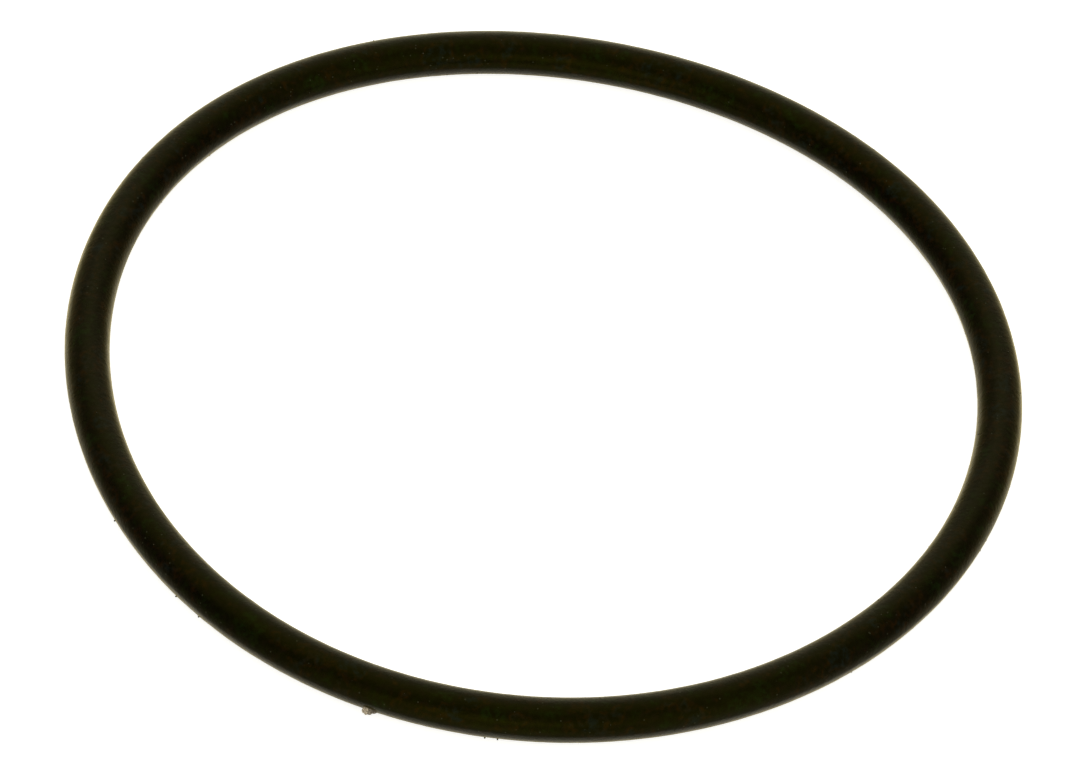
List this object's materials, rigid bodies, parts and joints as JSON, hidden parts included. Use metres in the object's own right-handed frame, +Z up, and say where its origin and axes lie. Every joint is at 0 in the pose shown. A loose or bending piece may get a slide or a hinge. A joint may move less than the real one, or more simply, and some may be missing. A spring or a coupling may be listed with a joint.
{
  "type": "rubber o-ring",
  "caption": "Rubber o-ring of round section, moulded in one piece, that seals the gap between a shaft or spigot and the bore around it.",
  "frame": {"origin": "centre of the ring, on the surface that it lies on", "axes": "+Z up along the ring's axis; +X and +Y lie in the ring's plane"},
  "size_m": [0.0766, 0.0766, 0.0035],
  "materials": {
    "rubber": "matt moulded olive-black rubber"
  },
  "bodies": {
    "root": {"o_ring": "rubber"}
  },
  "joints": []
}
